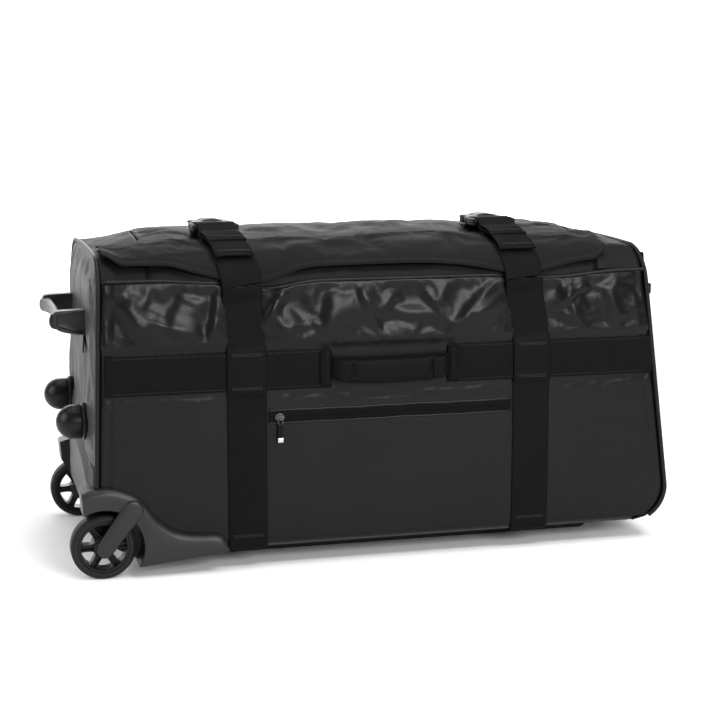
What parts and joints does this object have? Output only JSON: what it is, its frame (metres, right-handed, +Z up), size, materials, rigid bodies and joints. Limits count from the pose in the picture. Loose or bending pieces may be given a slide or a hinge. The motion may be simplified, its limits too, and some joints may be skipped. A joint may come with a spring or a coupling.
{
  "type": "wheeled duffel bag",
  "caption": "Soft-sided rolling duffel bag lying flat, with a hinged buckled lid, zipped front pocket, carry handles, recessed wheels, end feet and a telescopic trolley handle.",
  "frame": {"origin": "centre of the bounding box's base, on the floor that the wheels and skid rails stand on", "axes": "+X along the bag away from the wheels, -Y the front with the pocket, +Z up"},
  "size_m": [0.8022, 0.368, 0.43],
  "materials": {
    "tarpaulin": "coated fabric, semi-gloss",
    "lid_fabric": "woven polyester, matt",
    "webbing": "ribbed polypropylene webbing",
    "end_fabric": "coated fabric, semi-gloss",
    "moulded_plastic": "fine-grained moulding",
    "buckle_plastic": "acetal, satin",
    "tyre_rubber": "solid polyurethane",
    "wheel_plastic": "satin",
    "axle_steel": "turned",
    "zip_metal": "gunmetal",
    "tube_aluminium": "anodised"
  },
  "bodies": {
    "bag_body": {"front_panel": "tarpaulin", "back_panel": "tarpaulin", "wheel_end_panel": "end_fabric", "handle_end_panel": "tarpaulin", "base_board": "moulded_plastic", "front_top_gusset": "tarpaulin", "back_top_gusset": "tarpaulin", "wheel_end_gusset": "tarpaulin", "handle_end_gusset": "tarpaulin", "scuff_panel": "end_fabric", "edge_piping": "tarpaulin", "wheel_housing_front": "moulded_plastic", "wheel_housing_back": "moulded_plastic", "axle_cover_front": "moulded_plastic", "axle_cover_back": "moulded_plastic", "wheel_axle_front": "axle_steel", "wheel_axle_back": "axle_steel", "skid_rail_front": "moulded_plastic", "skid_rail_back": "moulded_plastic", "bumper_domes": "moulded_plastic", "grab_handle": "moulded_plastic", "front_strap_wheel_side": "webbing", "front_strap_handle_side": "webbing", "back_strap_wheel_side": "webbing", "back_strap_handle_side": "webbing", "front_band": "webbing", "back_band": "webbing", "end_straps": "webbing", "ladder_locks": "buckle_plastic", "pocket_zip_tape": "webbing", "main_zip_tape": "webbing", "outer_tubes": "tube_aluminium", "handle_bezel": "moulded_plastic"},
    "front_wheel": {"wheel_hub_front": "wheel_plastic", "tyre_front": "tyre_rubber", "wheel_bearings_front": "axle_steel"},
    "back_wheel": {"wheel_hub_back": "wheel_plastic", "tyre_back": "tyre_rubber", "wheel_bearings_back": "axle_steel"},
    "lid": {"lid_panel": "lid_fabric", "storm_flap": "lid_fabric", "lid_strap_wheel_side": "webbing", "lid_strap_handle_side": "webbing", "buckle_socket_wheel_side": "buckle_plastic", "buckle_socket_handle_side": "buckle_plastic"},
    "strap_end_wheel_side": {"strap_top_wheel_side": "webbing", "buckle_plug_wheel_side": "buckle_plastic"},
    "strap_end_handle_side": {"strap_top_handle_side": "webbing", "buckle_plug_handle_side": "buckle_plastic"},
    "front_grip": {"front_carry_handle": "webbing"},
    "back_grip": {"back_carry_handle": "webbing"},
    "end_grip": {"end_carry_handle": "webbing"},
    "pocket_slider": {"pocket_zip_slider": "zip_metal"},
    "pocket_puller": {"pocket_zip_puller": "zip_metal"},
    "main_slider": {"main_zip_slider": "zip_metal"},
    "middle_stage": {"middle_tubes": "tube_aluminium"},
    "inner_stage": {"inner_tubes": "tube_aluminium", "trolley_grip": "moulded_plastic"},
    "grip_button": {"grip_button": "buckle_plastic"}
  },
  "joints": [
    {"name": "front_wheel_spin", "type": "hinge", "parent": "bag_body", "child": "front_wheel", "pos_m": [-0.3523, -0.158, 0.0403], "axis": [0, 1, 0], "continuous": true},
    {"name": "back_wheel_spin", "type": "hinge", "parent": "bag_body", "child": "back_wheel", "pos_m": [-0.3523, 0.158, 0.0403], "axis": [0, 1, 0], "continuous": true},
    {"name": "lid_open", "type": "hinge", "parent": "bag_body", "child": "lid", "pos_m": [0, 0.1505, 0.3875], "axis": [-1, 0, 0], "range_deg": [0, 70]},
    {"name": "strap_fold_wheel_side", "type": "hinge", "parent": "bag_body", "child": "strap_end_wheel_side", "pos_m": [-0.1722, -0.1757, 0.358], "axis": [1, 0, 0], "range_deg": [0, 224.01], "deforming": ["strap_top_wheel_side"]},
    {"name": "strap_fold_handle_side", "type": "hinge", "parent": "bag_body", "child": "strap_end_handle_side", "pos_m": [0.2026, -0.1757, 0.358], "axis": [1, 0, 0], "range_deg": [0, 224.01], "deforming": ["strap_top_handle_side"]},
    {"name": "front_handle_swing", "type": "hinge", "parent": "bag_body", "child": "front_grip", "pos_m": [0.012, -0.1724, 0.252], "axis": [1, 0, 0], "range_deg": [-25, 25]},
    {"name": "back_handle_swing", "type": "hinge", "parent": "bag_body", "child": "back_grip", "pos_m": [0.012, 0.1724, 0.252], "axis": [1, 0, 0], "range_deg": [-25, 25]},
    {"name": "end_handle_swing", "type": "hinge", "parent": "bag_body", "child": "end_grip", "pos_m": [0.3785, 0, 0.292], "axis": [0, 0, 1], "range_deg": [-25, 25]},
    {"name": "pocket_zip_slide", "type": "slide", "parent": "bag_body", "child": "pocket_slider", "axis": [1, 0, 0], "range_m": [0, 0.295]},
    {"name": "pocket_puller_lift", "type": "hinge", "parent": "pocket_slider", "child": "pocket_puller", "pos_m": [-0.131, -0.1756, 0.1895], "axis": [-1, 0, 0], "range_deg": [0, 130]},
    {"name": "main_zip_slide", "type": "slide", "parent": "bag_body", "child": "main_slider", "axis": [-1, 0, 0], "range_m": [0, 0.54]},
    {"name": "trolley_lower_slide", "type": "slide", "parent": "bag_body", "child": "middle_stage", "axis": [1, 0, 0], "range_m": [0, 0.23]},
    {"name": "trolley_upper_slide", "type": "slide", "parent": "middle_stage", "child": "inner_stage", "axis": [1, 0, 0], "range_m": [0, 0.23]},
    {"name": "grip_button_press", "type": "slide", "parent": "inner_stage", "child": "grip_button", "axis": [-1, 0, 0], "range_m": [0, 0.003], "stiffness_N_per_m": 300}
  ],
  "couplings": [
    {"joint": "strap_fold_wheel_side", "follows": "lid_open", "ratio": 3.2},
    {"joint": "strap_fold_handle_side", "follows": "lid_open", "ratio": 3.2}
  ]
}
